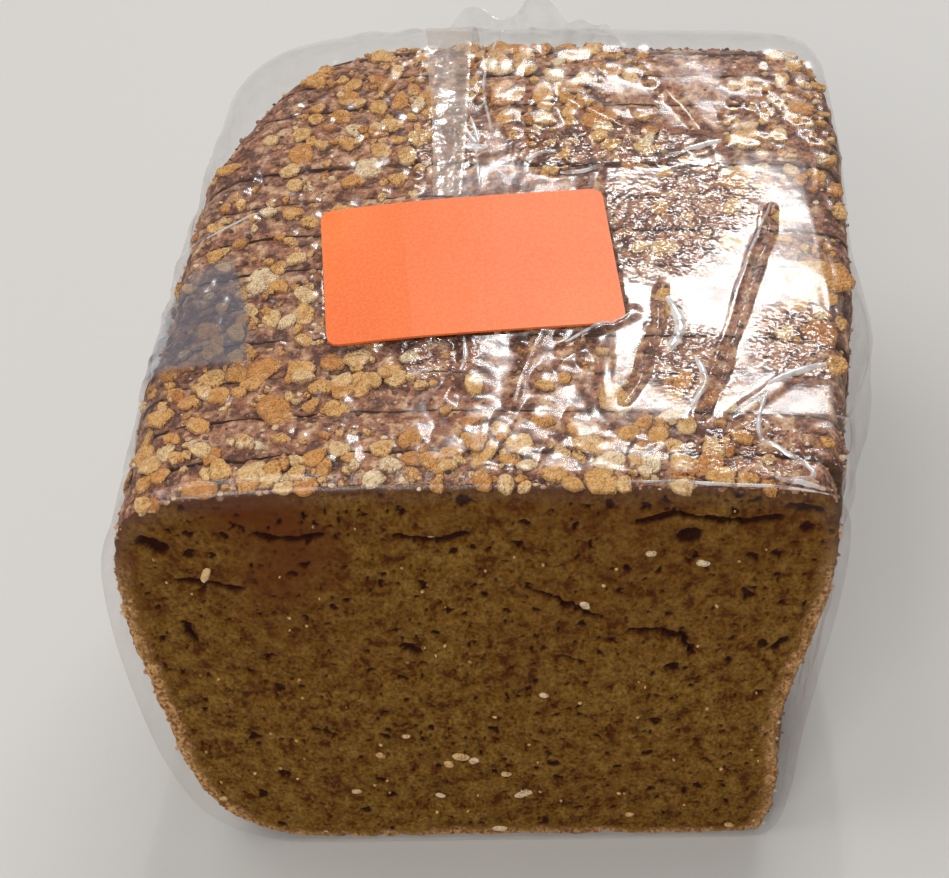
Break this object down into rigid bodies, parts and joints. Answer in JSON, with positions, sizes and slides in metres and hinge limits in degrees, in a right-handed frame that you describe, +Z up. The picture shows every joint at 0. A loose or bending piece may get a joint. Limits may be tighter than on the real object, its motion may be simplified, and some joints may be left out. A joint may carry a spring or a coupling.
{
  "type": "sliced rye bread loaf",
  "caption": "Half loaf of dark sliced rye bread with an oat-flaked crust, sealed in a clear film bag with a blank orange sticker on top.",
  "frame": {"origin": "on the surface the loaf stands on, under the middle of its bounding box", "axes": "+Z up, -Y out of the cut crumb face, +Y towards the rounded heel, +X to the right seen from the cut face"},
  "size_m": [0.1388, 0.152, 0.1118],
  "materials": {
    "bag": "clear film over floury brown crust and dark crumb",
    "label": "satin orange sticker"
  },
  "bodies": {
    "root": {"bag": "bag", "label": "label"}
  },
  "joints": []
}
